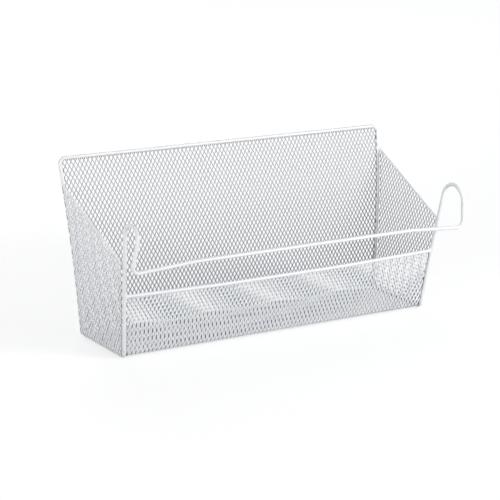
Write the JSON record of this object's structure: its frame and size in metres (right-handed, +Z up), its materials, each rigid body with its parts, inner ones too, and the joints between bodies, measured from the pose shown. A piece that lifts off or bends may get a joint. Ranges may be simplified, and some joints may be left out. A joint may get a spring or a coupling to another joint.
{
  "type": "wire mesh hanging basket",
  "caption": "White wire mesh basket with a tall back, sloping sides and a low front, hung by two wire hooks joined by a bar.",
  "frame": {"origin": "centre of the bounding box at the level of the surface that the base wires stand on", "axes": "+Z up, +X to the right along the basket's width, -Y towards the low side with the hooks and +Y towards the tall back panel"},
  "size_m": [0.4068, 0.1595, 0.182],
  "materials": {
    "frame_wire": "white powder coat over round steel wire, satin",
    "mesh": "white powder coat over diamond steel mesh, satin",
    "edge_trim": "white powder coat over folded steel strip, satin"
  },
  "bodies": {
    "root": {"top_wire": "frame_wire", "left_back_wire": "frame_wire", "right_back_wire": "frame_wire", "left_base_wire": "frame_wire", "right_base_wire": "frame_wire", "left_post": "frame_wire", "right_post": "frame_wire", "left_hook": "frame_wire", "right_hook": "frame_wire", "hook_bar": "frame_wire", "front_rail": "frame_wire", "back_mesh": "mesh", "base_mesh": "mesh", "front_mesh": "mesh", "left_mesh": "mesh", "right_mesh": "mesh", "left_edge_trim": "edge_trim", "right_edge_trim": "edge_trim"}
  },
  "joints": []
}
